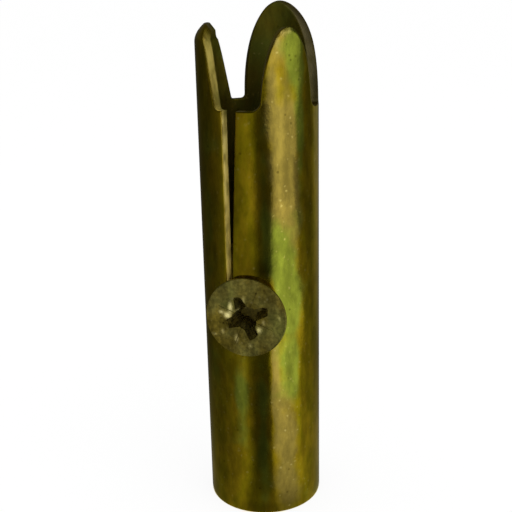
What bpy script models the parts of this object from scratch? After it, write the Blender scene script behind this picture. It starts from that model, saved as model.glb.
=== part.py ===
# Ceiling anchor: a steel sleeve with three rounded petals that turn in at their tips, slotted down to a
# countersunk cross screw that holds a threaded core in its lower end.
# Metres, +Z up, origin on the sleeve's axis at its bottom rim. The screw's head faces -Y.

import math

import bmesh
import bpy
from mathutils import Vector

# Sleeve: a round tube, measured outside, and the level of the notches between its petals.
sleeve_diameter = 0.0120
sleeve_wall = 0.0010
notch_height = 0.0425
edge_break = 0.00012
outline_step = 0.00062
rows_in_petals = 8

# Petals, as angles round the sleeve in degrees, anticlockwise from +X, and heights above the notches.
# A squareness of 2 gives an elliptical crown, and a higher one gives straight flanks and a flatter crown.
# The lean is how far the tip stands round from the middle of the root, reached by this power of the rise.
lean_power = 1.3
petals = {
    "back": {
        "centre": 66.7, "lean": 12.0, "root_half": 51.3, "crown_half": 47.4, "rise": 0.0097,
        "squareness": 1.92, "turned_in": 0.0003, "turn_length": 0.0040, "root_fillet": 0.0004,
    },
    "left": {
        "centre": 188.9, "lean": 2.7, "root_half": 52.6, "crown_half": 35.1, "rise": 0.0079,
        "squareness": 5.4, "turned_in": 0.0011, "turn_length": 0.0018, "root_fillet": 0.0003,
    },
    "front": {
        "centre": 314.7, "lean": -0.5, "root_half": 28.0, "crown_half": 26.5, "rise": 0.0075,
        "squareness": 1.97, "turned_in": 0.0001, "turn_length": 0.0030, "root_fillet": 0.0009,
    },
}

# Wedge slot from the front notch down to the screw. Its left side is upright and its right side leans to it.
slot_left_angle = 249.0
slot_right_top_angle = 263.9
slot_right_low_angle = 253.5

# Countersunk cross screw, its axis square to the sleeve's.
screw_height = 0.0224
screw_proud = 0.0006
head_diameter = 0.0082
head_rim = 0.0003
cone_slope = 45.0
thread_diameter = 0.0040
tip_gap = 0.0016
screw_chamfer = 0.0005
recess_span = 0.0045
recess_depth = 0.0023
wing_width = 0.0010
foot_width_share = 0.80
foot_span_share = 0.50
recess_well = 0.0026
recess_turn = 22.0
tick_reach = 0.0030
tick_width = 0.00016
tick_depth = 0.00018

# Threaded core in the lower bore, drilled from below for a hanger.
core_bottom = 0.0012
core_over_screw = 0.0050
core_chamfer = 0.0005
hanger_thread = 0.0062
hanger_depth = 0.0140
drill_point_angle = 118.0
mouth_chamfer = 0.0005

# Clearances between pieces.
bore_clearance = 0.00010
seat_clearance = 0.00010

round_steps = 72
hole_steps = 48
cutter_reach = 0.0030
quarter_turn = 90.0

sleeve_radius = sleeve_diameter / 2
bore_radius = sleeve_radius - sleeve_wall
core_top = screw_height + core_over_screw

# The screw is as long as the bore allows, with a gap left between its tip and the far wall.
screw_length = screw_proud + sleeve_radius + bore_radius - tip_gap

# A block's four lower corners come first, anticlockwise from above, and then the four over them.
block_faces = [(3, 2, 1, 0), (4, 5, 6, 7), (0, 1, 5, 4), (1, 2, 6, 5), (2, 3, 7, 6), (3, 0, 4, 7)]


def clear_scene():
    for thing in list(bpy.data.objects):
        bpy.data.objects.remove(thing, do_unlink=True)


def metal(name, colour, roughness):
    material = bpy.data.materials.new(name)
    material.use_nodes = True
    shader = material.node_tree.nodes["Principled BSDF"]
    shader.inputs["Base Color"].default_value = (*colour, 1.0)
    shader.inputs["Metallic"].default_value = 1.0
    shader.inputs["Roughness"].default_value = roughness
    return material


def add_object(name, points, faces, material=None):
    mesh = bpy.data.meshes.new(name)
    mesh.from_pydata(points, [], faces)
    mesh.update()
    thing = bpy.data.objects.new(name, mesh)
    bpy.context.scene.collection.objects.link(thing)
    if material:
        mesh.materials.append(material)
    return thing


def smooth(thing, sharp_angle=35.0):
    thing.data.shade_smooth()
    thing.data.set_sharp_from_angle(angle=math.radians(sharp_angle))


def turned(name, profile, steps, material=None):
    """A profile of (radius, height) points, from the top down its outer side, turned about +Z."""
    points = [(radius, 0.0, height) for radius, height in profile]
    mesh = bpy.data.meshes.new(name)
    mesh.from_pydata(points, [(i, i + 1) for i in range(len(points) - 1)], [])
    thing = bpy.data.objects.new(name, mesh)
    bpy.context.scene.collection.objects.link(thing)
    if material:
        mesh.materials.append(material)
    turn = thing.modifiers.new("turn", "SCREW")
    turn.steps = steps
    turn.render_steps = steps
    turn.use_merge_vertices = True
    turn.merge_threshold = 0.00001
    turn.use_smooth_shade = True
    return thing


def cut(thing, cutter):
    cutter.hide_render = True
    cutter.display_type = "WIRE"
    modifier = thing.modifiers.new("cut " + cutter.name, "BOOLEAN")
    modifier.operation = "DIFFERENCE"
    modifier.solver = "EXACT"
    modifier.object = cutter


def face_screw_way(thing):
    """Lays a piece that was made along +Z so that its top faces -Y at the screw's height."""
    thing.rotation_euler = (math.radians(quarter_turn), 0.0, 0.0)
    thing.location = (0.0, -(sleeve_radius + screw_proud), screw_height)


# Sleeve

def half_width(petal, share):
    """Half the petal's width in degrees, at this share of its rise."""
    flank = petal["root_half"] + (petal["crown_half"] - petal["root_half"]) * share
    crown = (1.0 - share ** petal["squareness"]) ** (1.0 / petal["squareness"])
    fillet = petal["root_fillet"]
    below = max(fillet - share * petal["rise"], 0.0)
    flare = fillet - math.sqrt(fillet ** 2 - below ** 2)
    return flank * crown + math.degrees(flare / sleeve_radius)


def petal_outline(petal, samples=240):
    """The petal's edge as (angle, height) from its right root over the crown to its left root."""
    side = []
    for i in range(samples + 1):
        share = math.sin(0.5 * math.pi * i / samples)
        middle = petal["centre"] + petal["lean"] * share ** lean_power
        side.append((middle, half_width(petal, share), notch_height + petal["rise"] * share))
    right = [(middle - half, height) for middle, half, height in side]
    left = [(middle + half, height) for middle, half, height in reversed(side[:-1])]
    return right + left


def crown_outline():
    """The sleeve's whole upper edge as (angle, height, petal), with even steps along the edge."""
    outline = []
    for name in petals:
        part = petal_outline(petals[name])
        lengths = [0.0]
        for (a0, h0), (a1, h1) in zip(part, part[1:]):
            lengths.append(lengths[-1] + math.hypot(math.radians(a1 - a0) * sleeve_radius, h1 - h0))
        count = max(8, 2 * round(lengths[-1] / outline_step / 2))
        place = 0
        for i in range(count + 1):
            wanted = lengths[-1] * i / count
            while place < len(lengths) - 2 and lengths[place + 1] < wanted:
                place += 1
            share = (wanted - lengths[place]) / (lengths[place + 1] - lengths[place])
            angle = part[place][0] + (part[place + 1][0] - part[place][0]) * share
            height = part[place][1] + (part[place + 1][1] - part[place][1]) * share
            outline.append((angle, height, petals[name]))
    return fill_notches(outline)


def fill_notches(outline):
    """Adds points along the level notch floors between one petal's last point and the next one's first."""
    filled = []
    for i, (angle, height, petal) in enumerate(outline):
        filled.append((angle, height, petal))
        following = outline[(i + 1) % len(outline)]
        gap = (following[0] - angle) % 360.0
        if following[2] is petal or gap > 180.0:
            continue
        steps = max(1, round(math.radians(gap) * sleeve_radius / outline_step))
        for step in range(1, steps):
            filled.append((angle + gap * step / steps, notch_height, petal))
    return filled


def inset(outline, distance):
    """The outline moved into the sheet by a distance, square to the edge in the flat sheet."""
    moved = []
    for i, (angle, height, petal) in enumerate(outline):
        before = outline[i - 1]
        after = outline[(i + 1) % len(outline)]
        along = math.radians((after[0] - before[0] + 180.0) % 360.0 - 180.0) * sleeve_radius
        up = after[1] - before[1]
        length = math.hypot(along, up)
        moved.append((
            angle + math.degrees(distance * up / length / sleeve_radius),
            height - distance * along / length,
            petal,
        ))
    return moved


def rolled(angle, height, depth, petal):
    """A point of the sheet, at a depth below its outer face, rolled round and turned in near the tip."""
    turn_start = notch_height + petal["rise"] - petal["turn_length"]
    share = max(0.0, (height - turn_start) / petal["turn_length"])
    slope = 2.0 * petal["turned_in"] * share / petal["turn_length"]
    lean = math.atan(slope)
    radius = sleeve_radius - petal["turned_in"] * share ** 2 - depth * math.cos(lean)
    turn = math.radians(angle)
    return Vector((radius * math.cos(turn), radius * math.sin(turn), height - depth * math.sin(lean)))


def wall_rows(edge):
    """Rings of (angle, height, petal) up the wall, from just over the bottom rim to the given edge."""
    petal_foot = notch_height - 2.0 * edge_break
    rings = [[(angle, edge_break, petal) for angle, _, petal in edge]]
    for row in range(rows_in_petals + 1):
        share = row / rows_in_petals
        ring = []
        for angle, height, petal in edge:
            start = min(petal_foot, height - 2.0 * edge_break)
            ring.append((angle, start + (height - start) * share, petal))
        rings.append(ring)
    return rings


def make_sleeve(material):
    outline = crown_outline()
    edge = inset(outline, edge_break)
    rows = wall_rows(edge)
    rings = [[rolled(*point[:2], 0.0, point[2]) for point in row] for row in rows]
    rings.append([rolled(a, h, edge_break, p) for a, h, p in outline])
    rings.append([rolled(a, h, sleeve_wall - edge_break, p) for a, h, p in outline])
    rings += [[rolled(*point[:2], sleeve_wall, point[2]) for point in row] for row in reversed(rows)]
    rings.append([rolled(a, 0.0, sleeve_wall - edge_break, p) for a, _, p in edge])
    rings.append([rolled(a, 0.0, edge_break, p) for a, _, p in edge])
    columns = len(outline)
    points = [point for ring in rings for point in ring]
    faces = []
    for r in range(len(rings)):
        upper = (r + 1) % len(rings)
        for c in range(columns):
            beside = (c + 1) % columns
            faces.append((
                r * columns + c,
                r * columns + beside,
                upper * columns + beside,
                upper * columns + c,
            ))
    sleeve = add_object("sleeve", points, faces, material)
    smooth(sleeve)
    return sleeve


def make_slot_cutter():
    """A wedge from inside the screw's hole up past the notch floor, its two sides square to the wall."""
    low = screw_height
    high = notch_height + cutter_reach
    lean = (slot_right_top_angle - slot_right_low_angle) / (notch_height - low)
    points = []
    for height in (low, high):
        right = slot_right_low_angle + lean * (height - low)
        for angle, reach in (
            (slot_left_angle, bore_radius - cutter_reach),
            (slot_left_angle, sleeve_radius + cutter_reach),
            (right, sleeve_radius + cutter_reach),
            (right, bore_radius - cutter_reach),
        ):
            turn = math.radians(angle)
            points.append((reach * math.cos(turn), reach * math.sin(turn), height))
    return add_object("slot_cutter", points, block_faces)


# Cross screw

def screw_profile(clearance, through):
    """The screw's outline from the middle of its head. A cutter has a clearance and runs on past both ends."""
    head_radius = head_diameter / 2 + clearance
    shank_radius = thread_diameter / 2 + clearance
    rim_low = -head_rim - clearance * math.tan(math.radians(cone_slope / 2))
    cone_low = rim_low - (head_radius - shank_radius) / math.tan(math.radians(cone_slope))
    top = cutter_reach if through else 0.0
    if through:
        tip = -(sleeve_radius + bore_radius + screw_proud - clearance)
        ending = [(shank_radius, tip), (0.0, tip)]
    else:
        ending = [
            (shank_radius, -screw_length + screw_chamfer),
            (shank_radius - screw_chamfer, -screw_length),
            (0.0, -screw_length),
        ]
    return [(0.0, top), (head_radius, top), (head_radius, rim_low), (shank_radius, cone_low)] + ending


def tapered_block(name, top_size, foot_size, top, foot, turn):
    """A block between two rectangles, one above the other, turned about +Z by an angle in degrees."""
    points = []
    for (length, width), height in ((foot_size, foot), (top_size, top)):
        for x, y in ((-1, -1), (1, -1), (1, 1), (-1, 1)):
            points.append((0.5 * length * x, 0.5 * width * y, height))
    block = add_object(name, points, block_faces)
    mesh = bmesh.new()
    mesh.from_mesh(block.data)
    spin = math.radians(turn)
    for vertex in mesh.verts:
        x, y = vertex.co.x, vertex.co.y
        vertex.co.x = x * math.cos(spin) - y * math.sin(spin)
        vertex.co.y = x * math.sin(spin) + y * math.cos(spin)
    mesh.to_mesh(block.data)
    mesh.free()
    return block


def recess_cutters():
    """Two crossed tapering wings, the square well between them and the four short marks at 45 degrees."""
    cutters = []
    over = 1.0 + edge_break / recess_depth
    foot_span = recess_span * foot_span_share
    top_span = foot_span + (recess_span - foot_span) * over
    well_foot = recess_well * foot_span_share
    well_top = well_foot + (recess_well - well_foot) * over
    for number in range(2):
        turn = recess_turn + quarter_turn * number
        wing = tapered_block(
            f"recess_wing_{number + 1}",
            (top_span, wing_width),
            (foot_span, foot_width_share * wing_width),
            edge_break, -recess_depth, turn,
        )
        tick = tapered_block(
            f"recess_mark_{number + 1}",
            (2.0 * tick_reach, tick_width),
            (2.0 * tick_reach, tick_width),
            edge_break, -tick_depth, turn + quarter_turn / 2,
        )
        cutters += [wing, tick]
    cutters.append(tapered_block(
        "recess_well", (well_top, well_top), (well_foot, well_foot),
        edge_break, -recess_depth - edge_break, recess_turn + quarter_turn / 2,
    ))
    return cutters


def make_cross_screw(material):
    screw = turned("cross_screw", screw_profile(0.0, False), hole_steps, material)
    for cutter in recess_cutters():
        face_screw_way(cutter)
        cut(screw, cutter)
    face_screw_way(screw)
    return screw


# Threaded core

def make_threaded_core(material):
    outer = bore_radius - bore_clearance
    hole = hanger_thread / 2
    hole_end = core_bottom + hanger_depth
    point = hole / math.tan(math.radians(drill_point_angle / 2))
    return turned("threaded_core", [
        (0.0, core_top),
        (outer - core_chamfer, core_top),
        (outer, core_top - core_chamfer),
        (outer, core_bottom + core_chamfer),
        (outer - core_chamfer, core_bottom),
        (hole + mouth_chamfer, core_bottom),
        (hole, core_bottom + mouth_chamfer),
        (hole, hole_end),
        (0.0, hole_end + point),
    ], round_steps, material)


def main():
    clear_scene()
    plated = metal("yellow_plated_steel", (0.42, 0.36, 0.12), 0.28)
    dull = metal("dull_plated_steel", (0.36, 0.33, 0.18), 0.48)
    bar = metal("plated_bar", (0.40, 0.36, 0.16), 0.35)
    seat = turned("screw_seat_cutter", screw_profile(seat_clearance, True), hole_steps)
    face_screw_way(seat)
    sleeve = make_sleeve(plated)
    cut(sleeve, make_slot_cutter())
    cut(sleeve, seat)
    make_cross_screw(dull)
    core = make_threaded_core(bar)
    cut(core, seat)


main()
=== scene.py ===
# Looks of the ceiling anchor: a yellow plated sleeve with turned-in petals, its cross screw and its core.
# Metres, +Z up. Angles are in degrees, anticlockwise from +X seen from above.

import math

import bmesh
import bpy
import numpy as np
from mathutils import Matrix, Vector


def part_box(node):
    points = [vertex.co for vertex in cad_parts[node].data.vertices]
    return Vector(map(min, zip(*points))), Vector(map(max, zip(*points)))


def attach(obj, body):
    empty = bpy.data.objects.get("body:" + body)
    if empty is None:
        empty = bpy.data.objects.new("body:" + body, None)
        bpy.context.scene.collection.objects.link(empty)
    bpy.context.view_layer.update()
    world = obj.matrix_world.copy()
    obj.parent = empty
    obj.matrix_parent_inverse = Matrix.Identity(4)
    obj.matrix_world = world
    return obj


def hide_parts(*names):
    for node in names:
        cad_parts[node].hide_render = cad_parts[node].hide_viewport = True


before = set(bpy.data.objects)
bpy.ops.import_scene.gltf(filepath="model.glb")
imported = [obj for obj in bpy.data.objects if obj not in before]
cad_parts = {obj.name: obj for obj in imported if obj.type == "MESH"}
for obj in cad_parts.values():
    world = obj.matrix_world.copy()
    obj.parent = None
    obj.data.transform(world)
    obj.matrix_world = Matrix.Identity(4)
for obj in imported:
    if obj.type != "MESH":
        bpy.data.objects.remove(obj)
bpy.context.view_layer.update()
sleeveLow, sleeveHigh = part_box("sleeve")
screwLow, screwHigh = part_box("cross_screw")
coreLow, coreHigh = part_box("threaded_core")
sleeveRadius = (sleeveHigh.x - sleeveLow.x) / 2
screwHeight = (screwLow.z + screwHigh.z) / 2
print("frame read, sleeve is", round(sleeveHigh.z * 1000, 1), "mm long")


# Mesh making

mergeDistance = 0.000001


def meshObject(name, points, quads, fans=(), material=None):
    # points is an (n, 3) array, quads an (m, 4) array of their numbers, fans a list of (m, 3) arrays
    mesh = bpy.data.meshes.new(name)
    corners = [quads.ravel()] + [f.ravel() for f in fans]
    sizes = [np.full(len(quads), 4)] + [np.full(len(f), 3) for f in fans]
    corners, sizes = np.concatenate(corners), np.concatenate(sizes)
    mesh.vertices.add(len(points))
    mesh.vertices.foreach_set("co", points.astype(np.float32).ravel())
    mesh.loops.add(len(corners))
    mesh.loops.foreach_set("vertex_index", corners.astype(np.int32))
    mesh.polygons.add(len(sizes))
    mesh.polygons.foreach_set("loop_start", (np.cumsum(sizes) - sizes).astype(np.int32))
    mesh.update(calc_edges=True)
    mesh.validate()
    thing = bpy.data.objects.new(name, mesh)
    bpy.context.scene.collection.objects.link(thing)
    if material:
        mesh.materials.append(material)
    return thing


def pointsOf(thing):
    spots = np.zeros(len(thing.data.vertices) * 3)
    thing.data.vertices.foreach_get("co", spots)
    return spots.reshape(-1, 3)


def pointMask(thing, name, values):
    # one number for each point of the mesh, which a material reads by this name
    attribute = thing.data.attributes.new(name, "FLOAT", "POINT")
    attribute.data.foreach_set("value", values.astype(np.float32))


def gridQuads(rows, columns, closed=False):
    # the quads of a grid of rows by columns, facing out where columns run anticlockwise and rows run up
    across = columns if closed else columns - 1
    r, c = np.meshgrid(np.arange(rows - 1), np.arange(across), indexing="ij")
    beside = (c + 1) % columns
    quads = [r * columns + c, r * columns + beside, (r + 1) * columns + beside, (r + 1) * columns + c]
    return np.stack(quads, -1).reshape(-1, 4)


def turnedSurface(radius, height):
    # radius and height are (rows, steps) arrays, from the foot up: each row is a ring round +Z
    steps = radius.shape[1]
    angle = np.arange(steps) * 2 * np.pi / steps
    rings = np.stack([radius * np.cos(angle), radius * np.sin(angle), height], -1)
    foot, top = rings[0].mean(0), rings[-1].mean(0)
    points = np.vstack([rings.reshape(-1, 3), foot, top])
    ring = np.arange(steps)
    after = np.roll(ring, -1)
    last = (len(radius) - 1) * steps
    footFan = np.stack([np.full(steps, len(points) - 2), after, ring], -1)
    topFan = np.stack([np.full(steps, len(points) - 1), last + ring, last + after], -1)
    return points, gridQuads(len(radius), steps, True), [footFan, topFan]


def walk(points, step):
    # a polyline with even steps of about this length along it, its corners kept
    out = [points[:1]]
    for a, b in zip(points[:-1], points[1:]):
        count = max(1, int(round(np.hypot(*(b - a)) / step)))
        share = np.linspace(0, 1, count + 1)[1:, None]
        out.append(a + (b - a) * share)
    return np.vstack(out)


def cutAway(thing, cutters):
    # the cutters are taken out of the thing, and then removed
    for cutter in cutters:
        modifier = thing.modifiers.new("cut", "BOOLEAN")
        modifier.operation = "DIFFERENCE"
        modifier.solver = "EXACT"
        modifier.object = cutter
    graph = bpy.context.evaluated_depsgraph_get()
    mesh = bpy.data.meshes.new_from_object(thing.evaluated_get(graph))
    thing.modifiers.clear()
    thing.data = mesh
    for cutter in cutters:
        bpy.data.objects.remove(cutter)


def finishMesh(thing, sharpAngle):
    # points closer than the merge distance joined, slivers gone, shading smooth up to this angle
    mesh = bmesh.new()
    mesh.from_mesh(thing.data)
    bmesh.ops.remove_doubles(mesh, verts=mesh.verts, dist=mergeDistance)
    bmesh.ops.dissolve_degenerate(mesh, edges=mesh.edges, dist=mergeDistance)
    bmesh.ops.triangulate(mesh, faces=[f for f in mesh.faces if len(f.verts) > 4])
    mesh.to_mesh(thing.data)
    mesh.free()
    thing.data.validate()
    thing.data.shade_smooth()
    thing.data.set_sharp_from_angle(angle=math.radians(sharpAngle))
    print(thing.name, "has", len(thing.data.polygons), "faces")


def turnedFlat(points, degrees):
    # the points turned anticlockwise round +Z
    turn = math.radians(degrees)
    x, y = points[:, 0], points[:, 1]
    across = x * math.cos(turn) - y * math.sin(turn)
    along = x * math.sin(turn) + y * math.cos(turn)
    return np.stack([across, along, points[:, 2]], -1)


def faceScrewWay(points):
    # turns a shape made along +Z so that its top faces -Y, with its origin in the middle of the head
    return np.stack([points[:, 0], screwLow.y - points[:, 2], points[:, 1] + screwHeight], -1)


# Materials

def newGroup(name, inputs, outputs):
    group = bpy.data.node_groups.new(name, "ShaderNodeTree")
    for label, kind, value in inputs:
        socket = group.interface.new_socket(label, in_out="INPUT", socket_type=kind)
        if value is not None:
            socket.default_value = value
    for label, kind in outputs:
        group.interface.new_socket(label, in_out="OUTPUT", socket_type=kind)
    return group, group.nodes.new("NodeGroupInput"), group.nodes.new("NodeGroupOutput")


def node(tree, kind, settings=(), inputs=()):
    # adds a node: settings are its own properties, inputs are values or sockets by name or number
    made = tree.nodes.new(kind)
    for key, value in dict(settings).items():
        setattr(made, key, value)
    for key, value in dict(inputs).items():
        if isinstance(value, bpy.types.NodeSocket):
            tree.links.new(value, made.inputs[key])
        else:
            made.inputs[key].default_value = value
    return made


def blend(tree, share, first, second, how="MIX"):
    made = node(tree, "ShaderNodeMix", {"data_type": "RGBA", "blend_type": how})
    for key, value in ((0, share), (6, first), (7, second)):
        if isinstance(value, bpy.types.NodeSocket):
            tree.links.new(value, made.inputs[key])
        else:
            made.inputs[key].default_value = value
    return made.outputs[2]


def sums(tree, how, first, second, clamp=False):
    made = node(tree, "ShaderNodeMath", {"operation": how, "use_clamp": clamp}, {0: first, 1: second})
    return made.outputs[0]


def ranged(tree, value, low, high, to=(0.0, 1.0)):
    made = node(tree, "ShaderNodeMapRange", {"interpolation_type": "SMOOTHSTEP"},
                {"Value": value, "From Min": low, "From Max": high, "To Min": to[0], "To Max": to[1]})
    return made.outputs[0]


def noise(tree, vector, scale, detail, roughness=0.5):
    made = node(tree, "ShaderNodeTexNoise", {}, {
        "Vector": vector, "Scale": scale, "Detail": detail, "Roughness": roughness,
    })
    return made.outputs["Fac"]


# The plating: the patterns' scales, two of them squashed along the tube, and what each mask leads to
finishForm = dict(
    streakScale=620.0, blotchScale=240.0, waveScale=130.0, rippleScale=420.0, grainScale=2600.0,
    mottleScale=950.0, sparkScale=1500.0, dotScale=760.0, streakSquash=0.28, mottleSquash=0.45,
    # below: the first colour is a painted grey reflection, the first on the next line darkens painted shade,
    # and the spark shares set painted glints
    reflectedGrey=(0.34, 0.285, 0.125, 1), dulled=(0.30, 0.29, 0.07, 1), specked=(0.45, 0.42, 0.30, 1),
    shadeTint=(0.30, 0.30, 0.30, 1), drift=1.6, dulledShare=0.35, sparkShare=0.3, wornSparks=0.4,
    cutRoughness=0.3, dulledRoughness=0.36, cutDullness=0.85, grainHeight=0.45, waveHeight=8.0,
    rippleHeight=2.4,
)


def platedFinish(form):
    # Zinc plating with a yellow film: gold and bronze streaks along the tube, green where the film is
    # thicker, paler where it is worn, a greyer tone that is a painted reflection, dull specks, darkening that
    # is painted shade, pale sparks that are painted glints, and a rough pale edge where the sheet was cut,
    # which is partly painted highlight where its mask puts it. Mottle and Grit say how far large and small
    # patches go up and down in strength.
    group, given, result = newGroup("platedFinish", [
        ("Place", "NodeSocketVector", None),
        ("Gold", "NodeSocketColor", (0.42, 0.29, 0.009, 1)),
        ("Bronze", "NodeSocketColor", (0.335, 0.264, 0.005, 1)),
        ("Green", "NodeSocketColor", (0.31, 0.355, 0.034, 1)),
        ("Pale", "NodeSocketColor", (0.39, 0.29, 0.05, 1)),
        ("Bare and glint metal", "NodeSocketColor", (0.85, 0.69, 0.21, 1)),
        ("Film", "NodeSocketFloat", 0.0),
        ("Worn", "NodeSocketFloat", 0.0),
        ("Bare and glint", "NodeSocketFloat", 0.0),
        ("Dulled", "NodeSocketFloat", 0.0),
        ("Painted shade", "NodeSocketFloat", 0.0),
        ("Grey reflection", "NodeSocketFloat", 0.0),
        ("Mottle", "NodeSocketFloat", 0.25),
        ("Grit", "NodeSocketFloat", 0.0),
        ("Smoothest", "NodeSocketFloat", 0.2),
        ("Dullest", "NodeSocketFloat", 0.4),
        ("Specks", "NodeSocketFloat", 0.5),
    ], [
        ("Colour", "NodeSocketColor"), ("Roughness", "NodeSocketFloat"), ("Metallic", "NodeSocketFloat"),
        ("Height", "NodeSocketFloat"),
    ])
    wanted = given.outputs
    place = wanted["Place"]

    def times(first, second, clamp=False):
        return sums(group, "MULTIPLY", first, second, clamp)

    def plus(first, second, clamp=False):
        return sums(group, "ADD", first, second, clamp)

    def less(first, second):
        return sums(group, "SUBTRACT", first, second)

    def squashed(share):
        return node(group, "ShaderNodeMapping", {}, {"Vector": place, "Scale": (1.0, 1.0, share)}).outputs[0]

    def cells(scale):
        return node(group, "ShaderNodeTexVoronoi", {}, {"Vector": place, "Scale": scale}).outputs["Distance"]

    streak = noise(group, squashed(form["streakSquash"]), form["streakScale"], 5.0, 0.62)
    blotch = noise(group, place, form["blotchScale"], 3.0, 0.55)
    wave = noise(group, place, form["waveScale"], 1.0, 0.5)
    ripple = noise(group, place, form["rippleScale"], 1.0, 0.5)
    grain = noise(group, place, form["grainScale"], 2.0, 0.6)
    mottle = noise(group, squashed(form["mottleSquash"]), form["mottleScale"], 5.0, 0.62)
    sparks, dots = cells(form["sparkScale"]), cells(form["dotScale"])

    # the film's colour
    base = blend(group, ranged(group, streak, 0.38, 0.62), wanted["Gold"], wanted["Bronze"])
    drift = times(less(blotch, 0.5), form["drift"])
    worn = ranged(group, plus(wanted["Worn"], drift), 0.25, 0.75)
    base = blend(group, worn, base, wanted["Pale"])
    within = times(wanted["Dulled"], form["dulledShare"])
    film = ranged(group, plus(plus(wanted["Film"], within), drift), 0.2, 0.8)
    base = blend(group, film, base, wanted["Green"])
    base = blend(group, within, base, form["dulled"])
    # a greyer tone painted for a reflection
    greyReflectionMask = times(wanted["Grey reflection"], ranged(group, mottle, 0.3, 0.6, (0.7, 1.0)), True)
    base = blend(group, greyReflectionMask, base, form["reflectedGrey"])
    for pattern, spread, much in ((mottle, 0.2, "Mottle"), (grain, 0.15, "Grit")):
        ends = less(1.0, wanted[much]), plus(1.0, wanted[much])
        base = blend(group, 1.0, base, ranged(group, pattern, 0.5 - spread, 0.5 + spread, ends), "MULTIPLY")

    # dark specks, painted shade, painted glints as pale sparks, and pale bare metal, partly painted
    # highlight, over it
    dark = times(ranged(group, dots, 0.05, 0.14, (1.0, 0.0)), ranged(group, streak, 0.44, 0.54))
    dark = times(dark, wanted["Specks"])
    base = blend(group, dark, base, form["specked"], "MULTIPLY")
    # painted shade: the colour darkened where its mask says
    paintedShade = times(wanted["Painted shade"], ranged(group, mottle, 0.35, 0.6, (0.6, 1.0)), True)
    base = blend(group, paintedShade, base, form["shadeTint"], "MULTIPLY")
    # pale sparks: painted glints, more where the film is worn
    light = times(ranged(group, sparks, 0.10, 0.30, (1.0, 0.0)), ranged(group, grain, 0.48, 0.60))
    light = times(times(light, wanted["Specks"]), plus(form["sparkShare"], times(worn, form["wornSparks"])))
    base = blend(group, light, base, wanted["Bare and glint metal"])
    # pale bare metal where its mask says: on the sleeve's cut edge partly real and partly painted highlight,
    # elsewhere painted glints
    cut = times(wanted["Bare and glint"], ranged(group, mottle, 0.35, 0.6, (0.55, 1.0)))
    base = blend(group, cut, base, wanted["Bare and glint metal"])

    # roughness, bare metal and relief
    rough = node(group, "ShaderNodeMix", {"data_type": "FLOAT"}, {
        0: plus(times(blotch, 0.6), times(dark, 0.5), True), 2: wanted["Smoothest"], 3: wanted["Dullest"],
    }).outputs[0]
    rough = plus(rough, times(cut, form["cutRoughness"]))
    rough = plus(rough, times(wanted["Dulled"], form["dulledRoughness"]))
    metal = less(1.0, times(cut, form["cutDullness"]))
    height = plus(streak, times(grain, form["grainHeight"]))
    height = plus(height, times(wave, form["waveHeight"]))
    height = plus(height, times(ripple, form["rippleHeight"]))
    for value, name in ((base, "Colour"), (rough, "Roughness"), (metal, "Metallic"), (height, "Height")):
        group.links.new(value, result.inputs[name])
    return group


finishGroup = platedFinish(finishForm)
glossTint = (1.0, 0.94, 0.6, 1)


def platedMaterial(name, relief, values, masks=()):
    # values go to the group's inputs, and masks names those that follow an attribute of the mesh
    material = bpy.data.materials.new(name)
    material.use_nodes = True
    tree = material.node_tree
    shader = tree.nodes["Principled BSDF"]
    place = node(tree, "ShaderNodeTexCoord").outputs["Object"]
    finish = node(tree, "ShaderNodeGroup", {"node_tree": finishGroup}, {"Place": place, **values})
    for label, attribute in dict(masks).items():
        read = node(tree, "ShaderNodeAttribute", {"attribute_name": attribute})
        tree.links.new(read.outputs["Fac"], finish.inputs[label])
    bump = node(tree, "ShaderNodeBump", {}, {"Strength": 1.0, "Distance": relief})
    tree.links.new(finish.outputs["Height"], bump.inputs["Height"])
    tree.links.new(bump.outputs[0], shader.inputs["Normal"])
    for output, target in (("Colour", "Base Color"), ("Roughness", "Roughness"), ("Metallic", "Metallic")):
        tree.links.new(finish.outputs[output], shader.inputs[target])
    shader.inputs["Specular Tint"].default_value = glossTint
    return material


# Sleeve

# The seat is where the screw's head sits. The cut edge's rings and depths are shares of the wall. Pale bare
# metal on the cut edge is partly real and partly painted highlight, as only the edges between two
# azimuths, which catch light, get it.
sleeveForm = dict(
    wall=0.0010, notchHeight=0.0425, edgeRound=0.00013, edgeSteps=4, outlineStep=0.00024, rowStep=0.0007,
    petalRows=26, leanPower=1.3, slotLeft=249.0, slotRightTop=263.9, slotRightLow=253.5, slotFade=26.0,
    fadePower=1.5, slotColumns=5, seatClearance=0.00010, seatReach=0.003, seatSteps=160,
    cutRings=(0.26, 0.38, 0.66), insidePower=1.5, bareDepths=(0.04, 0.13, 0.26, 0.87, 0.97),
    bareShares=(0.0, 0.6, 1.0, 0.9, 0.1), bareLitSpan=(204, 262), slotBareLit=1.0, petalBareLit=0.52, bareTop=0.0501,
    bareFade=0.0014, relief=0.000012, sharpAngle=40,
)
# Petals: angles in degrees of the middle, of the tip's lean and of half the root and half the crown
petalForms = [
    dict(centre=314.7, lean=-0.5, rootHalf=28.0, crownHalf=26.5, rise=0.0075, squareness=1.97,
         turnedIn=0.0001, turnLength=0.0030, rootFillet=0.0009),
    dict(centre=426.7, lean=12.0, rootHalf=51.3, crownHalf=47.4, rise=0.0097, squareness=1.92,
         turnedIn=0.0003, turnLength=0.0040, rootFillet=0.0004),
    dict(centre=548.9, lean=2.7, rootHalf=52.6, crownHalf=35.1, rise=0.0079, squareness=5.4,
         turnedIn=0.0011, turnLength=0.0018, rootFillet=0.0003),
]
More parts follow.
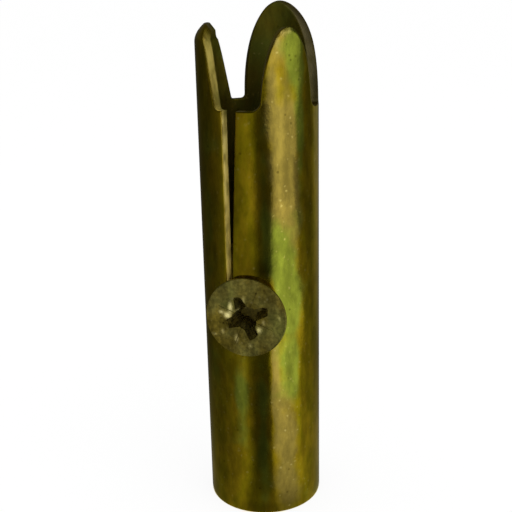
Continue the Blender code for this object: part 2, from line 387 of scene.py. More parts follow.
# Soft mounds on the wall, each with its middle's angle and height, half width in degrees, half height and
# how much: where the film is thicker, and then where the colour is darkened as painted shade: inside the
# back petal, a painted shadow over the screw head, along the foot, and a darker patch low on the front
greenBlooms = [
    dict(angle=319.0, height=0.0475, wide=10.0, tall=0.0038, much=1.0),
    dict(angle=326.0, height=0.0400, wide=6.0, tall=0.0065, much=0.8),
    dict(angle=299.0, height=0.0280, wide=8.0, tall=0.0036, much=0.9),
    dict(angle=308.0, height=0.0165, wide=12.0, tall=0.0040, much=0.45),
    dict(angle=312.0, height=0.0245, wide=13.0, tall=0.0060, much=1.1),
    dict(angle=317.0, height=0.0155, wide=6.0, tall=0.0040, much=0.5),
    dict(angle=262.0, height=0.0130, wide=8.0, tall=0.0042, much=0.9),
    dict(angle=232.0, height=0.0150, wide=18.0, tall=0.0060, much=0.5),
    dict(angle=283.0, height=0.0100, wide=6.0, tall=0.0090, much=0.7),
    dict(angle=224.0, height=0.0320, wide=12.0, tall=0.0100, much=0.5),
    dict(angle=288.0, height=0.0340, wide=5.0, tall=0.0080, much=0.5),
    dict(angle=90.0, height=0.0300, wide=30.0, tall=0.0120, much=0.6),
    dict(angle=150.0, height=0.0120, wide=26.0, tall=0.0100, much=0.5),
]
shadeBlooms = [
    dict(angle=85.0, height=0.0400, wide=50.0, tall=0.0055, much=0.95),
    dict(angle=112.0, height=0.0470, wide=20.0, tall=0.0050, much=0.65),
    dict(angle=285.0, height=0.0272, wide=14.0, tall=0.0010, much=0.9),
    dict(angle=300.0, height=0.0006, wide=60.0, tall=0.0004, much=0.5),
    dict(angle=281.0, height=0.0070, wide=6.0, tall=0.0020, much=0.3),
]
# A greyer tone painted as the reflection on the right side, the same on the cut edge of the back petal,
# and a painted highlight as pale bare metal along the front petal's crown
greyReflectionBlooms = [
    dict(angle=17.0, height=0.0475, wide=9.0, tall=0.0080, much=1.0),
    dict(angle=6.0, height=0.0300, wide=9.0, tall=0.0140, much=0.7),
]
edgeGreyBlooms = [
    dict(angle=40.0, height=0.0500, wide=32.0, tall=0.0050, much=1.2),
]
crownHighlights = [
    dict(angle=314.5, height=0.0497, wide=3.0, tall=0.0002, much=0.7),
    dict(angle=308.5, height=0.0495, wide=3.5, tall=0.0003, much=0.6),
    dict(angle=302.0, height=0.0488, wide=3.0, tall=0.0004, much=0.4),
]
# Where the film is worn pale
wornBlooms = [
    dict(angle=295.0, height=0.0440, wide=6.0, tall=0.0035, much=0.6),
    dict(angle=309.0, height=0.0360, wide=17.0, tall=0.0110, much=1.2),
    dict(angle=308.0, height=0.0070, wide=14.0, tall=0.0080, much=0.95),
    dict(angle=296.0, height=0.0155, wide=4.0, tall=0.0060, much=0.8),
    dict(angle=350.0, height=0.0380, wide=6.0, tall=0.0060, much=0.8),
    dict(angle=60.0, height=0.0200, wide=24.0, tall=0.0100, much=0.7),
]


def petalEdge(form, petal, samples=400):
    # at each share of the rise, half width = flank x (1 - share^squareness)^(1/squareness) and a root fillet,
    # where the flank goes evenly from half the root to half the crown, and the middle leans with the share
    share = np.sin(np.linspace(0, 0.5 * np.pi, samples))
    flank = petal["rootHalf"] + (petal["crownHalf"] - petal["rootHalf"]) * share
    crown = np.clip(1 - share ** petal["squareness"], 0, 1) ** (1 / petal["squareness"])
    below = np.clip(petal["rootFillet"] - share * petal["rise"], 0, None)
    flare = petal["rootFillet"] - np.sqrt(petal["rootFillet"] ** 2 - below ** 2)
    half = flank * crown + np.degrees(flare / sleeveRadius)
    middle = petal["centre"] + petal["lean"] * share ** form["leanPower"]
    height = form["notchHeight"] + petal["rise"] * share
    angle = np.concatenate([middle - half, (middle + half)[-2::-1]])
    height = np.concatenate([height, height[-2::-1]])
    steps = np.hypot(np.radians(np.diff(angle)) * sleeveRadius, np.diff(height))
    length = np.concatenate([[0], np.cumsum(steps)])
    even = np.linspace(0, length[-1], int(length[-1] / form["outlineStep"]))
    return np.interp(even, length, angle), np.interp(even, length, height)


def crownEdge(form):
    # the upper edge, anticlockwise from the slot's right side to its left: angle, height, petal number
    angles, heights, owners = [], [], []
    at = form["slotRightTop"]
    step = np.degrees(form["outlineStep"] / sleeveRadius)
    for number, petal in enumerate(petalForms):
        angle, height = petalEdge(form, petal)
        floor = np.linspace(at, angle[0], max(2, int((angle[0] - at) / step)))[:-1]
        angles += [floor, angle]
        heights += [np.full(len(floor), form["notchHeight"]), height]
        owners.append(np.full(len(floor) + len(angle), number))
        at = angle[-1]
    end = form["slotLeft"] + 360
    floor = np.linspace(at, end, max(2, int((end - at) / step)))[1:]
    angles.append(floor)
    heights.append(np.full(len(floor), form["notchHeight"]))
    owners.append(np.full(len(floor), len(petalForms) - 1))
    return np.concatenate(angles), np.concatenate(heights), np.concatenate(owners)


def rolledPoint(angle, height, depth, owner):
    # a point of the sheet at a depth under its outer face, with the radius less by turnedIn x share^2 over
    # the last length of a petal
    turnedIn = np.array([p["turnedIn"] for p in petalForms])[owner]
    length = np.array([p["turnLength"] for p in petalForms])[owner]
    start = sleeveForm["notchHeight"] + np.array([p["rise"] for p in petalForms])[owner] - length
    share = np.clip((height - start) / length, 0, None)
    lean = np.arctan(2 * turnedIn * share / length)
    radius = sleeveRadius - turnedIn * share ** 2 - depth * np.cos(lean)
    turn = np.radians(angle)
    return np.stack([radius * np.cos(turn), radius * np.sin(turn), height - depth * np.sin(lean)], -1)


def mounds(points, blooms):
    # a soft mound for each bloom: much x exp(-(angle off / wide)^2 - (height off / tall)^2)
    angle = np.degrees(np.arctan2(points[:, 1], points[:, 0]))
    film = np.zeros(len(points))
    for bloom in blooms:
        off = (angle - bloom["angle"] + 180) % 360 - 180
        up = points[:, 2] - bloom["height"]
        film += bloom["much"] * np.exp(-(off / bloom["wide"]) ** 2 - (up / bloom["tall"]) ** 2)
    return film


def sleeveSurface(form):
    # two grids, the outer face and the inner, joined by rounded strips along the crown, slot and foot
    r, wall = form["edgeRound"], form["wall"]
    rDegrees = np.degrees(r / sleeveRadius)
    slotLow = screwHeight
    foot = form["notchHeight"] - 2 * r
    edgeAngle, edgeHeight, owner = crownEdge(form)
    columns = len(edgeAngle)

    lowRows = np.linspace(r, slotLow - r, int(slotLow / form["rowStep"]))
    highRows = np.linspace(slotLow + form["rowStep"] / 2, foot, int((foot - slotLow) / form["rowStep"]))
    low, high, upper = len(lowRows), len(highRows), form["petalRows"]

    # the closed loop of the true edge: crown, down the slot's left side, across its foot, up its right side
    shares = np.arange(1, upper) / upper
    sideRows = np.concatenate([highRows, foot + (form["notchHeight"] - r - foot) * shares])
    slant = (form["slotRightTop"] - form["slotRightLow"]) / (form["notchHeight"] - slotLow)
    rightSide = form["slotRightLow"] + slant * (sideRows - slotLow) + 360
    across = np.linspace(form["slotLeft"], form["slotRightLow"], form["slotColumns"] + 2) + 360
    leftSide = np.full(len(sideRows), form["slotLeft"] + 360)
    loopAngle = np.concatenate([edgeAngle, leftSide, across, rightSide])
    loopHeight = np.concatenate([edgeHeight, sideRows[::-1], np.full(len(across), slotLow), sideRows])
    loopOwner = np.concatenate([owner, np.full(len(loopAngle) - columns, 2)])

    # each point's way into the sheet, square to the loop
    along = np.radians((np.roll(loopAngle, -1) - np.roll(loopAngle, 1) + 180) % 360 - 180) * sleeveRadius
    up = np.roll(loopHeight, -1) - np.roll(loopHeight, 1)
    size = np.hypot(along, up)
    inAngle = np.degrees(up / size / sleeveRadius)
    inHeight = -along / size
    innerAngle = loopAngle + r * inAngle
    innerHeight = loopHeight + r * inHeight

    # the grid's columns keep the edge's angles, but lean with the slot's right side close to it
    columnAngle = innerAngle[:columns].copy()
    columnAngle[0] = form["slotRightTop"] + rDegrees
    columnAngle[-1] = form["slotLeft"] + 360 - rDegrees
    fade = np.clip(1 - (columnAngle - form["slotRightTop"]) / form["slotFade"], 0, 1) ** form["fadePower"]
    straight = np.concatenate([lowRows, highRows])
    leaning = slant * (np.clip(straight, slotLow, None) - form["notchHeight"])
    angleGrid = columnAngle + leaning[:, None] * fade
    heightGrid = np.repeat(straight[:, None], columns, 1)
    rising = (np.arange(1, upper + 1) / upper)[:, None]
    topAngle = np.repeat(columnAngle[None], upper, 0)
    topAngle[-1] = innerAngle[:columns]
    topHeight = foot + (innerHeight[:columns] - foot) * rising
    angleGrid = np.vstack([angleGrid, topAngle])
    heightGrid = np.vstack([heightGrid, topHeight])
    rows = len(angleGrid)
    gridOwner = np.repeat(owner[None], rows, 0)

    # short columns under the slot
    extra = form["slotColumns"]
    shortAngle = np.linspace(angleGrid[0, -1], angleGrid[0, 0] + 360, extra + 2)[1:-1]
    shortAngle = np.repeat(shortAngle[None], low, 0)
    shortHeight = np.repeat(lowRows[:, None], extra, 1)

    faceAngle = np.concatenate([angleGrid.ravel(), shortAngle.ravel()])
    faceHeight = np.concatenate([heightGrid.ravel(), shortHeight.ravel()])
    faceOwner = np.concatenate([gridOwner.ravel(), np.full(low * extra, 2)])
    number = np.arange(rows * columns).reshape(rows, columns)
    short = rows * columns + np.arange(low * extra).reshape(low, extra)
    belt = np.hstack([number[:low, -1:], short, number[:low, :1]])

    def quadsOf(grid):
        return np.stack([grid[:-1, :-1], grid[:-1, 1:], grid[1:, 1:], grid[1:, :-1]], -1).reshape(-1, 4)

    face = np.vstack([quadsOf(number), quadsOf(belt)])
    side = number[low:rows - 1]
    loop = np.concatenate([number[-1], side[::-1, -1], belt[-1], side[:, 0]])
    ring = np.concatenate([number[0], short[0]])

    # strips: a quarter round from the outer face, the cut face, and a quarter round to the inner face
    turn = np.linspace(0, 0.5 * np.pi, form["edgeSteps"] + 1)[1:]
    ease = 1 - np.sin(turn)
    depth = r * (1 - np.cos(turn))
    eases = np.concatenate([ease, np.zeros(len(form["cutRings"])), ease[::-1]])
    depths = np.concatenate([depth, wall * np.array(form["cutRings"]), wall - depth[::-1]])
    count = rows * columns + low * extra
    outer = rolledPoint(faceAngle, faceHeight, np.zeros(count), faceOwner)
    inner = rolledPoint(faceAngle, faceHeight, np.full(count, wall), faceOwner)
    points, quads = [outer, inner], [face, face[:, ::-1] + count]
    cut, inside = [np.zeros(2 * count)], [np.zeros(count), np.ones(count)]
    used = 2 * count

    def strip(angleEdge, heightEdge, angleIn, heightIn, owners, first, flip):
        nonlocal used
        size = len(first)
        rings = [first]
        for e, d in zip(eases, depths):
            angle = angleEdge + (angleIn - angleEdge) * e
            height = heightEdge + (heightIn - heightEdge) * e
            points.append(rolledPoint(angle, height, np.full(size, d), owners))
            # pale bare metal only on cut edges between the two azimuths: partly real, partly painted
            # highlight
            litBare = (angle % 360 > form["bareLitSpan"][0]) & (angle % 360 < form["bareLitSpan"][1])
            much = np.where(height < form["notchHeight"] - 2 * r, form["slotBareLit"], form["petalBareLit"])
            much = much * np.clip((form["bareTop"] - height) / form["bareFade"], 0, 1)
            cut.append(litBare * much * np.interp(d / wall, form["bareDepths"], form["bareShares"]))
            inside.append(np.full(size, (d / wall) ** form["insidePower"]))
            rings.append(used + np.arange(size))
            used += size
        rings.append(first + count)
        rings = np.array(rings)
        beside = np.roll(rings, -1, 1)
        made = np.stack([rings[:-1], beside[:-1], beside[1:], rings[1:]], -1).reshape(-1, 4)
        quads.append(made[:, ::-1] if flip else made)

    strip(loopAngle, loopHeight, innerAngle, innerHeight, loopOwner, loop, False)
    footAngle = faceAngle[ring]
    zero = np.zeros(len(ring))
    strip(footAngle, zero, footAngle, zero + r, faceOwner[ring], ring, True)
    return np.vstack(points), np.vstack(quads), np.concatenate(cut), np.concatenate(inside)


def seatCutter(form, screw):
    # the screw's own outline with a clearance round it, from outside the sleeve to its far wall
    slope = math.radians(screw["coneSlope"])
    gap = form["seatClearance"]
    head = (screwHigh.x - screwLow.x) / 2 + gap
    shank = screw["threadDiameter"] / 2 + gap
    rimLow = -screw["headRim"] - gap * math.tan(slope / 2)
    coneLow = rimLow - (head - shank) / math.tan(slope)
    tip = screwLow.y - (sleeveRadius - form["wall"]) + gap
    outline = np.array([[shank, tip], [shank, coneLow], [head, rimLow], [head, form["seatReach"]]])
    rings = np.repeat(outline[:, :, None], form["seatSteps"], 2)
    points, quads, fans = turnedSurface(rings[:, 0], rings[:, 1])
    return meshObject("seatCutter", faceScrewWay(points), quads, fans)


def makeSleeve():
    material = platedMaterial("yellowPlatedSteel", sleeveForm["relief"], {
        "Smoothest": 0.08, "Dullest": 0.22, "Specks": 0.7,
    }, {"Film": "film", "Worn": "worn", "Bare and glint": "cut", "Dulled": "inside", "Painted shade": "paintedShade", "Grey reflection": "greyReflectionMask"})
    points, quads, cut, inside = sleeveSurface(sleeveForm)
    thing = meshObject("plated_sleeve", points, quads, material=material)
    # inside is 0 on the outer face and 1 on the inner face, so this is 1 on most of the cut edge
    cutEdge = np.clip(8 * inside * (1 - inside), 0, 1)
    outerFace = inside < 0.002
    # pale bare metal on the cut edge, partly painted highlight, and the painted highlight along the front
    # petal's crown
    pointMask(thing, "cut", np.clip(cut + mounds(points, crownHighlights) * outerFace, 0, 1))
    # the greyer tone painted for reflection on the right side and on the back petal's cut edge
    pointMask(thing, "greyReflectionMask", mounds(points, greyReflectionBlooms) + mounds(points, edgeGreyBlooms) * cutEdge)
    pointMask(thing, "inside", inside)
    cutAway(thing, [seatCutter(sleeveForm, screwForm)])
    finishMesh(thing, sleeveForm["sharpAngle"])
    for name, blooms in (("film", greenBlooms), ("worn", wornBlooms), ("paintedShade", shadeBlooms)):
        pointMask(thing, name, mounds(pointsOf(thing), blooms))
    return thing


# Cross screw

screwForm = dict(
    headRim=0.0003, rimRound=0.00009, coneSlope=45.0, threadDiameter=0.0040, pitch=0.0007,
    threadDepth=0.00042, threadStart=0.0002, threadRunIn=0.0006, tipChamfer=0.0005, axisRadius=0.0004,
    steps=128, ringStep=0.00008, recessTurn=22.0, recessSpan=0.0045, recessDepth=0.0023, recessSteps=288,
    recessRows=14, recessOver=0.06, wingWidth=0.0011, wingTaper=0.22, wingRound=6, wellSpan=0.002392,
    wellTaper=0.45, wellRound=10, footShare=0.5, tickReach=0.0030, tickWidth=0.00014, tickDepth=0.00005,
    tickOver=0.0001, tickFootShare=0.4, glintGain=1.5, glintLoss=0.15, relief=0.00004, sharpAngle=32,
)
# The recess's edge is worn in waves round it: how much, how many, where they start, their turn with depth
recessWear = [(0.05, 3, 1.0, 0), (0.04, 7, 2.0, 3), (0.03, 13, 0.0, 6), (0.02, 23, 0.0, -4)]
# The shape of all threads, of the screw and of the hanger hole
threadSteepness, threadCrest = 1.35, 0.12


def threadWave(height, angle, pitch):
    # a single-start right-hand thread, 0 on the crest and 1 in the root: a triangle wave of height / pitch
    # less the share of a turn, made steeper, lowered by the crest and cut flat at both ends
    phase = (height / pitch - angle / (2 * np.pi)) % 1
    return np.clip(threadSteepness * (1 - np.abs(2 * phase - 1)) - threadCrest, 0, 1)


def screwSurface(form):
    # the head's rim, cone and threaded shank as rings, the thread taken out of the shank by threadWave
    head = (screwHigh.x - screwLow.x) / 2
    length = screwHigh.y - screwLow.y
    shank, r = form["threadDiameter"] / 2, form["rimRound"]
    coneLow = -form["headRim"] - (head - shank) / math.tan(math.radians(form["coneSlope"]))
    chamfer = form["tipChamfer"]
    middle, rim = form["axisRadius"], -form["headRim"]
    outline = np.array([
        [middle, -length], [shank - chamfer, -length], [shank, -length + chamfer], [shank, coneLow],
        [head - r * 0.6, rim], [head, rim + r * 0.8], [head, -r], [head - r * 0.3, -r * 0.3],
        [head - r, 0.0], [middle, 0.0],
    ])
    rings = walk(outline, form["ringStep"])
    angle = np.arange(form["steps"]) * 2 * np.pi / form["steps"]
    fade = np.clip((coneLow - form["threadStart"] - rings[:, 1]) / form["threadRunIn"], 0, 1)
    fade *= (rings[:, 0] > shank - chamfer * 0.9)
    depth = form["threadDepth"] * fade[:, None] * threadWave(rings[:, 1:], angle[None], form["pitch"])
    radius = np.clip(rings[:, :1] - depth, middle, None)
    height = np.repeat(rings[:, 1:], form["steps"], 1)
    return turnedSurface(radius, height)


def recessCutter(form):
    # a cross seen from above, tapering down: the radius is softly the larger of a square well and of four
    # wings, a wing is softly the smaller of its reach and its side, and the worn edge's waves swell and
    # shrink the whole
    steps, p, q = form["recessSteps"], form["wingRound"], form["wellRound"]
    angle = np.arange(steps) * 2 * np.pi / steps
    down = np.linspace(1, -form["recessOver"], form["recessRows"])[:, None]
    off = (angle + np.pi / 4) % (np.pi / 2) - np.pi / 4
    reach = form["recessSpan"] / 2 * (1 - (1 - form["footShare"]) * down)
    half = form["wingWidth"] / 2 * (1 - form["wingTaper"] * down)
    side = half / np.maximum(np.abs(np.sin(off)), 1e-6)
    wing = 1 / (1 / reach ** p + 1 / side ** p) ** (1 / p)
    corner = np.cos((off + np.pi / 2) % (np.pi / 2) - np.pi / 4)
    well = form["wellSpan"] / 2 * (1 - form["wellTaper"] * down) / corner
    worn = sum(m * np.sin(waves * angle + start + twist * down) for m, waves, start, twist in recessWear)
    radius = (wing ** q + well ** q) ** (1 / q) * (1 + worn)
    points, quads, fans = turnedSurface(radius, np.repeat(-form["recessDepth"] * down, steps, 1))
    points = turnedFlat(points, form["recessTurn"])
    return meshObject("recessCutter", faceScrewWay(points), quads, fans)


def tickCutter(form, number):
    # a shallow line cut across the head between the wings
    reach, half, low, high = form["tickReach"], form["tickWidth"] / 2, -form["tickDepth"], form["tickOver"]
    foot = half * form["tickFootShare"]
    corners = np.array([
        [-reach, -foot, low], [reach, -foot, low], [reach, foot, low], [-reach, foot, low],
        [-reach, -half, high], [reach, -half, high], [reach, half, high], [-reach, half, high],
    ])
    corners = turnedFlat(corners, form["recessTurn"] + 45 + 90 * number)
    quads = np.array([[3, 2, 1, 0], [4, 5, 6, 7], [0, 1, 5, 4], [1, 2, 6, 5], [2, 3, 7, 6], [3, 0, 4, 7]])
    return meshObject(f"tickCutter{number}", faceScrewWay(corners), quads)


# Painted glints round the recess, as pale bare-metal spots, in mm from the head's middle: sideways, up,
# half width, half height, how much
screwGlints = [
    (-1.55, 1.05, 0.24, 0.60, 0.80), (-1.90, 0.15, 0.36, 0.34, 0.90), (-0.62, 0.62, 0.34, 0.26, 1.00),
    (-2.50, 0.50, 0.30, 0.20, 0.60), (1.36, -1.20, 0.30, 0.36, 0.60), (1.80, -0.35, 0.22, 0.34, 0.40),
    (-2.40, -1.55, 0.22, 0.34, 0.40), (-1.00, -2.20, 0.22, 0.50, 0.60), (0.40, -2.90, 0.22, 0.34, 0.40),
    (-0.20, 1.90, 0.20, 0.50, 0.35), (-3.30, -1.90, 0.40, 0.16, 0.40), (3.40, 0.20, 0.20, 0.30, 0.30),
]
# Painted shade in the recess, a darker ring round it and a duller recess, in mm from the head's middle
recessShadeForm = dict(
    recessReach=2.6, recessDark=0.4, darkPower=0.3, haloReach=2.1, haloDark=0.3, fullDepth=1.2,
    dullShare=0.09, dullRise=4,
)


def makeScrew():
    material = platedMaterial("dullPlatedSteel", screwForm["relief"], {
        "Gold": (0.42, 0.32, 0.04, 1), "Bronze": (0.29, 0.225, 0.03, 1), "Green": (0.31, 0.34, 0.05, 1),
        "Pale": (0.54, 0.44, 0.13, 1), "Bare and glint metal": (0.72, 0.64, 0.28, 1), "Film": 0.32, "Worn": 0.42,
        "Smoothest": 0.32, "Dullest": 0.50, "Specks": 0.7, "Mottle": 0.36, "Grit": 0.22,
    }, {"Bare and glint": "paintedGlintsAndDull", "Painted shade": "recessShadeAndRing"})
    points, quads, fans = screwSurface(screwForm)
    thing = meshObject("plated_cross_screw", faceScrewWay(points), quads, fans, material)
    cutAway(thing, [recessCutter(screwForm), tickCutter(screwForm, 0), tickCutter(screwForm, 1)])
    finishMesh(thing, screwForm["sharpAngle"])
    side, into, up = ((pointsOf(thing) - (0, screwLow.y, screwHeight)) * 1000).T
    # each painted glint is much x exp(-(sideways off / half width)^2 - (up off / half height)^2)
    paintedGlintsAndDull = sum(k * np.exp(-((side - a) / w) ** 2 - ((up - b) / h) ** 2) for a, b, w, h, k in screwGlints)
    paintedGlintsAndDull = np.clip(screwForm["glintGain"] * paintedGlintsAndDull - screwForm["glintLoss"], 0, 1)
    deep = np.clip(into / recessShadeForm["fullDepth"], 0, 1)
    # the recess is dull and darkened with depth as painted shade, and a darker ring fades out round it by
    # exp(-(way out / its reach)^4)
    out = np.hypot(side, up)
    inRecess = out < recessShadeForm["recessReach"]
    dull = recessShadeForm["dullShare"] * np.clip(recessShadeForm["dullRise"] * deep, 0, 1) * inRecess
    # painted glints, fading into the recess, plus the recess's dullness
    pointMask(thing, "paintedGlintsAndDull", paintedGlintsAndDull * (1 - deep) + dull)
    shadeInRecess = recessShadeForm["recessDark"] * deep ** recessShadeForm["darkPower"] * inRecess * (1 - paintedGlintsAndDull)
    halo = recessShadeForm["haloDark"] * np.exp(-(out / recessShadeForm["haloReach"]) ** 4)
    pointMask(thing, "recessShadeAndRing", shadeInRecess + halo)
    return thing


# Threaded core

coreForm = dict(
    chamfer=0.0005, hangerDiameter=0.0062, hangerDepth=0.0140, pitch=0.0010, threadDepth=0.00050,
    steps=144, ringStep=0.00012, axisRadius=0.0002, drillAngle=118.0, mouth=0.0005, relief=0.000006,
    sharpAngle=32,
)


def coreSurface(form):
    # one run of rings from the drilled hole's point, down its thread, round the foot and up the outside
    outer = (coreHigh.x - coreLow.x) / 2
    hole = form["hangerDiameter"] / 2
    end = coreLow.z + form["hangerDepth"]
    point = hole / math.tan(math.radians(form["drillAngle"] / 2))
    c, middle, mouth, low, high = form["chamfer"], form["axisRadius"], form["mouth"], coreLow.z, coreHigh.z
    outline = np.array([
        [middle, end + point], [hole, end], [hole, low + mouth], [hole + mouth, low],
        [outer - c, low], [outer, low + c], [outer, high - c], [outer - c, high], [middle, high],
    ])
    rings = walk(outline, form["ringStep"])
    angle = np.arange(form["steps"]) * 2 * np.pi / form["steps"]
    inHole = (np.abs(rings[:, 0] - hole) < 1e-6) & (rings[:, 1] < end - form["pitch"]) & (rings[:, 1] > low)
    wave = 1 - threadWave(rings[:, 1:], angle[None], form["pitch"])
    radius = rings[:, :1] - form["threadDepth"] * inHole[:, None] * wave
    return turnedSurface(radius, np.repeat(rings[:, 1:], form["steps"], 1))


def makeCore():
    material = platedMaterial("platedBar", coreForm["relief"], {
        "Gold": (0.40, 0.32, 0.08, 1), "Bronze": (0.32, 0.27, 0.08, 1), "Green": (0.24, 0.28, 0.05, 1),
        "Bare and glint metal": (0.42, 0.38, 0.20, 1), "Film": 0.15, "Smoothest": 0.24, "Dullest": 0.42, "Specks": 0.4,
    })
    points, quads, fans = coreSurface(coreForm)
    thing = meshObject("plated_threaded_core", points, quads, fans, material)
    cutAway(thing, [seatCutter(sleeveForm, screwForm)])
    finishMesh(thing, coreForm["sharpAngle"])
    return thing


# Camera, floor and light

cameraForm = dict(
    focalPixels=860.55, framePixels=512, sensor=36.0, azimuth=-75.52, distance=0.085499, height=0.05308,
    tiltDown=17.081, turn=0.3571, roll=-1.3401,
)


def makeCamera(form):
    # stands at an azimuth round the tube and looks almost at its axis, tilted down, rolled about its view
    data = bpy.data.cameras.new("camera")
    data.sensor_width = form["sensor"]
    data.lens = form["focalPixels"] / form["framePixels"] * form["sensor"]
    data.clip_start, data.clip_end = 0.005, 100
    heading = math.radians(form["azimuth"] + 180 + form["turn"])
    tilt, roll = math.radians(form["tiltDown"]), math.radians(form["roll"])
    level = math.cos(tilt)
    ahead = Vector((math.cos(heading) * level, math.sin(heading) * level, -math.sin(tilt)))
    right = Vector((math.sin(heading), -math.cos(heading), 0))
    up = right.cross(ahead)
    rightRolled = right * math.cos(roll) + up * math.sin(roll)
    upRolled = up * math.cos(roll) - right * math.sin(roll)
    stand = math.radians(form["azimuth"])
    place = Vector((math.cos(stand) * form["distance"], math.sin(stand) * form["distance"], form["height"]))
    camera = bpy.data.objects.new("camera", data)
    camera.matrix_world = Matrix((
        (rightRolled.x, upRolled.x, -ahead.x, place.x),
        (rightRolled.y, upRolled.y, -ahead.y, place.y),
        (rightRolled.z, upRolled.z, -ahead.z, place.z),
        (0, 0, 0, 1),
    ))
    bpy.context.scene.collection.objects.link(camera)
    bpy.context.scene.camera = camera


stageForm = dict(
    floorSize=60.0, floorGlow=0.88, floorTone=0.98, floorRoughness=0.9, skyLight=1.0,
    keyEnergy=0.35, keySize=0.30, keyDistance=0.45, keyWay=(0.55, -0.35, 0.75),
    tentRadius=0.22, tentHeight=0.20, tentFloor=0.00002, tentSpan=(-120, 240), floorRings=60, wallRings=24,
    ringStart=1.01, wallStart=0.01, roofReach=1.02, bendSpan=(-80, 45), gapHeight=0.062, gapFade=0.012,
    roofTone=0.07, footTone=0.17, footReach=0.0115, footFade=0.003, footShare=0.45,
)
# The tent round the object, which only gloss sees, is dark cloth with one bright gap. Each entry is an
# azimuth and the tones there far from the object, at middle distance and close to it, and tones run
# evenly between entries.
tentTones = [
    (-120, 0.18, 0.30, 0.26), (-113, 0.21, 0.32, 0.37), (-107, 0.26, 0.25, 0.39), (-101, 0.33, 0.12, 0.28),
    (-96, 0.36, 0.08, 0.14), (-91, 0.36, 0.06, 0.08), (-85, 0.20, 0.05, 0.075), (-79, 0.08, 0.05, 0.075),
    (-66, 0.05, 0.06, 0.08), (-60, 0.06, 0.08, 0.13), (-55, 0.50, 0.62, 0.38), (-50, 0.66, 0.80, 0.46),
    (-44, 0.90, 0.95, 0.49), (-35, 1.00, 1.00, 0.52), (-22, 0.74, 0.68, 0.54), (-5, 0.70, 0.70, 0.54),
    (1, 0.58, 0.56, 0.50), (6, 0.20, 0.28, 0.36), (25, 0.11, 0.22, 0.28), (39, 0.09, 0.16, 0.25),
    (56, 0.26, 0.12, 0.22), (75, 0.22, 0.12, 0.18), (104, 0.05, 0.08, 0.15), (153, 0.04, 0.045, 0.13),
    (184, 0.06, 0.08, 0.11), (206, 0.11, 0.10, 0.11), (226, 0.17, 0.17, 0.16), (240, 0.18, 0.30, 0.26),
]
# The distances from the object's axis that the three tones of an entry stand for
tentReaches = (0.130, 0.040, 0.013)
# The bright gap's two sides in that table, and where they really lie by the way out along the floor and
# then up the wall
gapNominal = (-57, 4)
gapSides = [
    (0.010, -62, -9), (0.016, -62, -8), (0.022, -62, -4), (0.046, -62, 2), (0.058, -61, 12),
    (0.072, -60, 8), (0.088, -58, -1), (0.110, -54, 2), (0.150, -52, -7), (0.190, -50, -10),
    (0.234, -56, 0), (0.242, -64, 5), (0.262, -68, 12),
]


def seenRay(tree):
    # 1 for rays from the camera, and for those by way of gloss or clear pieces
    path = node(tree, "ShaderNodeLightPath")
    first = sums(tree, "ADD", path.outputs["Is Camera Ray"], path.outputs["Is Glossy Ray"])
    return sums(tree, "ADD", first, path.outputs["Is Transmission Ray"], True)


def makeFloor(form):
    size = form["floorSize"] / 2
    points = np.array([[-size, -size, 0], [size, -size, 0], [size, size, 0], [-size, size, 0]])
    floor = meshObject("floor", points, np.array([[0, 1, 2, 3]]))
    material = bpy.data.materials.new("paleFloor")
    material.use_nodes = True
    tree = material.node_tree
    shader = tree.nodes["Principled BSDF"]
    tone = form["floorTone"]
    shader.inputs["Base Color"].default_value = (tone, tone, tone, 1)
    shader.inputs["Roughness"].default_value = form["floorRoughness"]
    shader.inputs["Specular IOR Level"].default_value = 0.0
    glow = node(tree, "ShaderNodeEmission", {}, {"Color": (1, 1, 1, 1), "Strength": 1.0})
    share = sums(tree, "MULTIPLY", seenRay(tree), form["floorGlow"])
    mix = node(tree, "ShaderNodeMixShader", {}, {0: share, 1: shader.outputs[0], 2: glow.outputs[0]})
    tree.links.new(mix.outputs[0], tree.nodes["Material Output"].inputs["Surface"])
    floor.data.materials.append(material)


def tentToneGrid(form, azimuths, radius, height):
    # a tone for each ring and azimuth: the gap's sides are bent on each ring, each azimuth reads the table
    # where it then falls, and the three distances are blended by the logarithm of the ring's radius
    table, sides = np.array(tentTones), np.array(gapSides)
    reaches = np.log(np.array(tentReaches[::-1]))
    (first, last), (low, high) = form["tentSpan"], form["bendSpan"]
    inTable = (first, low, *gapNominal, high, last)
    tones = []
    for r, way in zip(radius, radius + height):
        left, right = (np.interp(way, sides[:, 0], sides[:, side]) for side in (1, 2))
        straight = np.interp(azimuths, (first, low, left, right, high, last), inTable)
        near, middle, far = (np.interp(straight, table[:, 0], table[:, k]) for k in (3, 2, 1))
        tones.append([np.interp(np.log(r), reaches, trio) for trio in zip(near, middle, far)])
    atFoot = form["footShare"] * np.clip((form["footReach"] - radius[:, None]) / form["footFade"], 0, 1)
    tones = np.array(tones) * (1 - atFoot) + form["footTone"] * atFoot
    closed = np.clip((height[:, None] - form["gapHeight"]) / form["gapFade"], 0, 1)
    return tones * (1 - closed) + form["roofTone"] * closed


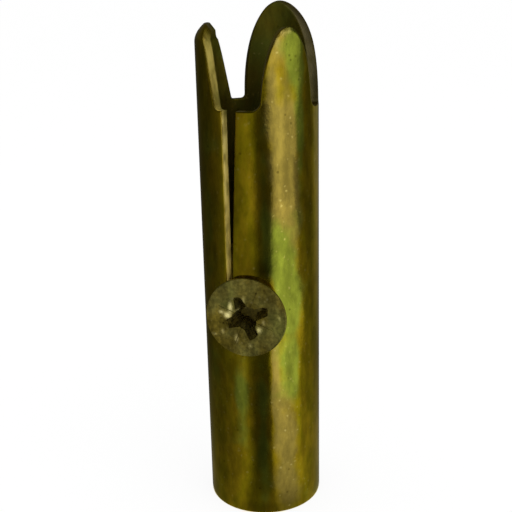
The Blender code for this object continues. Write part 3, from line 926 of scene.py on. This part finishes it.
def makeTent(form):
    # a disc close over the floor, a wall round it and a dark roof
    wide, tall = form["tentRadius"], form["tentHeight"]
    azimuths = np.arange(*form["tentSpan"], 1.0)
    floorRings = np.geomspace(sleeveRadius * form["ringStart"], wide, form["floorRings"])
    wallRings = np.linspace(form["wallStart"], tall, form["wallRings"])
    radius = np.concatenate([floorRings, np.full(len(wallRings), wide)])
    height = np.concatenate([np.full(len(floorRings), form["tentFloor"]), wallRings])
    tones = tentToneGrid(form, azimuths, radius, height)
    turn = np.radians(azimuths)
    x, y = radius[:, None] * np.cos(turn), radius[:, None] * np.sin(turn)
    points = np.stack([x, y, np.repeat(height[:, None], len(turn), 1)], -1).reshape(-1, 3)
    shown = gridQuads(len(radius), len(turn), True)
    reach = wide * form["roofReach"]
    roof = np.array([[x * reach, y * reach, tall] for x, y in ((-1, -1), (1, -1), (1, 1), (-1, 1))])
    shown = np.vstack([shown, np.arange(4) + len(points)])
    points = np.vstack([points, roof])
    tones = np.concatenate([tones.ravel(), np.full(4, form["roofTone"])])
    tent = meshObject("tent", points, shown)
    pointMask(tent, "tone", tones)
    material = bpy.data.materials.new("tentCloth")
    material.use_nodes = True
    tree = material.node_tree
    tree.nodes.remove(tree.nodes["Principled BSDF"])
    read = node(tree, "ShaderNodeAttribute", {"attribute_name": "tone"})
    glow = node(tree, "ShaderNodeEmission", {}, {"Color": (1, 1, 1, 1), "Strength": read.outputs["Fac"]})
    tree.links.new(glow.outputs[0], tree.nodes["Material Output"].inputs["Surface"])
    tent.data.materials.append(material)
    tent.visible_camera = False
    tent.visible_diffuse = False
    tent.visible_transmission = False
    tent.visible_volume_scatter = False
    tent.visible_shadow = False


def makeLight(form):
    world = bpy.data.worlds.new("world")
    bpy.context.scene.world = world
    world.use_nodes = True
    tree = world.node_tree
    background = tree.nodes["Background"]
    background.inputs["Color"].default_value = (1, 1, 1, 1)
    levels = {0: seenRay(tree), 2: form["skyLight"], 3: 1.0}
    strength = node(tree, "ShaderNodeMix", {"data_type": "FLOAT"}, levels)
    tree.links.new(strength.outputs[0], background.inputs["Strength"])
    data = bpy.data.lights.new("key", "AREA")
    data.size = form["keySize"]
    data.energy = form["keyEnergy"]
    key = bpy.data.objects.new("key", data)
    away = Vector(form["keyWay"]).normalized()
    key.location = away * form["keyDistance"]
    key.rotation_mode = "QUATERNION"
    key.rotation_quaternion = away.to_track_quat("Z", "Y")
    bpy.context.scene.collection.objects.link(key)


makeCamera(cameraForm)
makeFloor(stageForm)
makeTent(stageForm)
makeLight(stageForm)
print("camera, floor and light made")

for make, nodeName, slotName in (
    (makeSleeve, "sleeve", "yellow_plated_steel"),
    (makeScrew, "cross_screw", "dull_plated_steel"),
    (makeCore, "threaded_core", "plated_bar"),
):
    piece = make()
    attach(piece, "root")
    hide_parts(nodeName)

bpy.context.scene.view_settings.view_transform = "Standard"
print("pieces made")
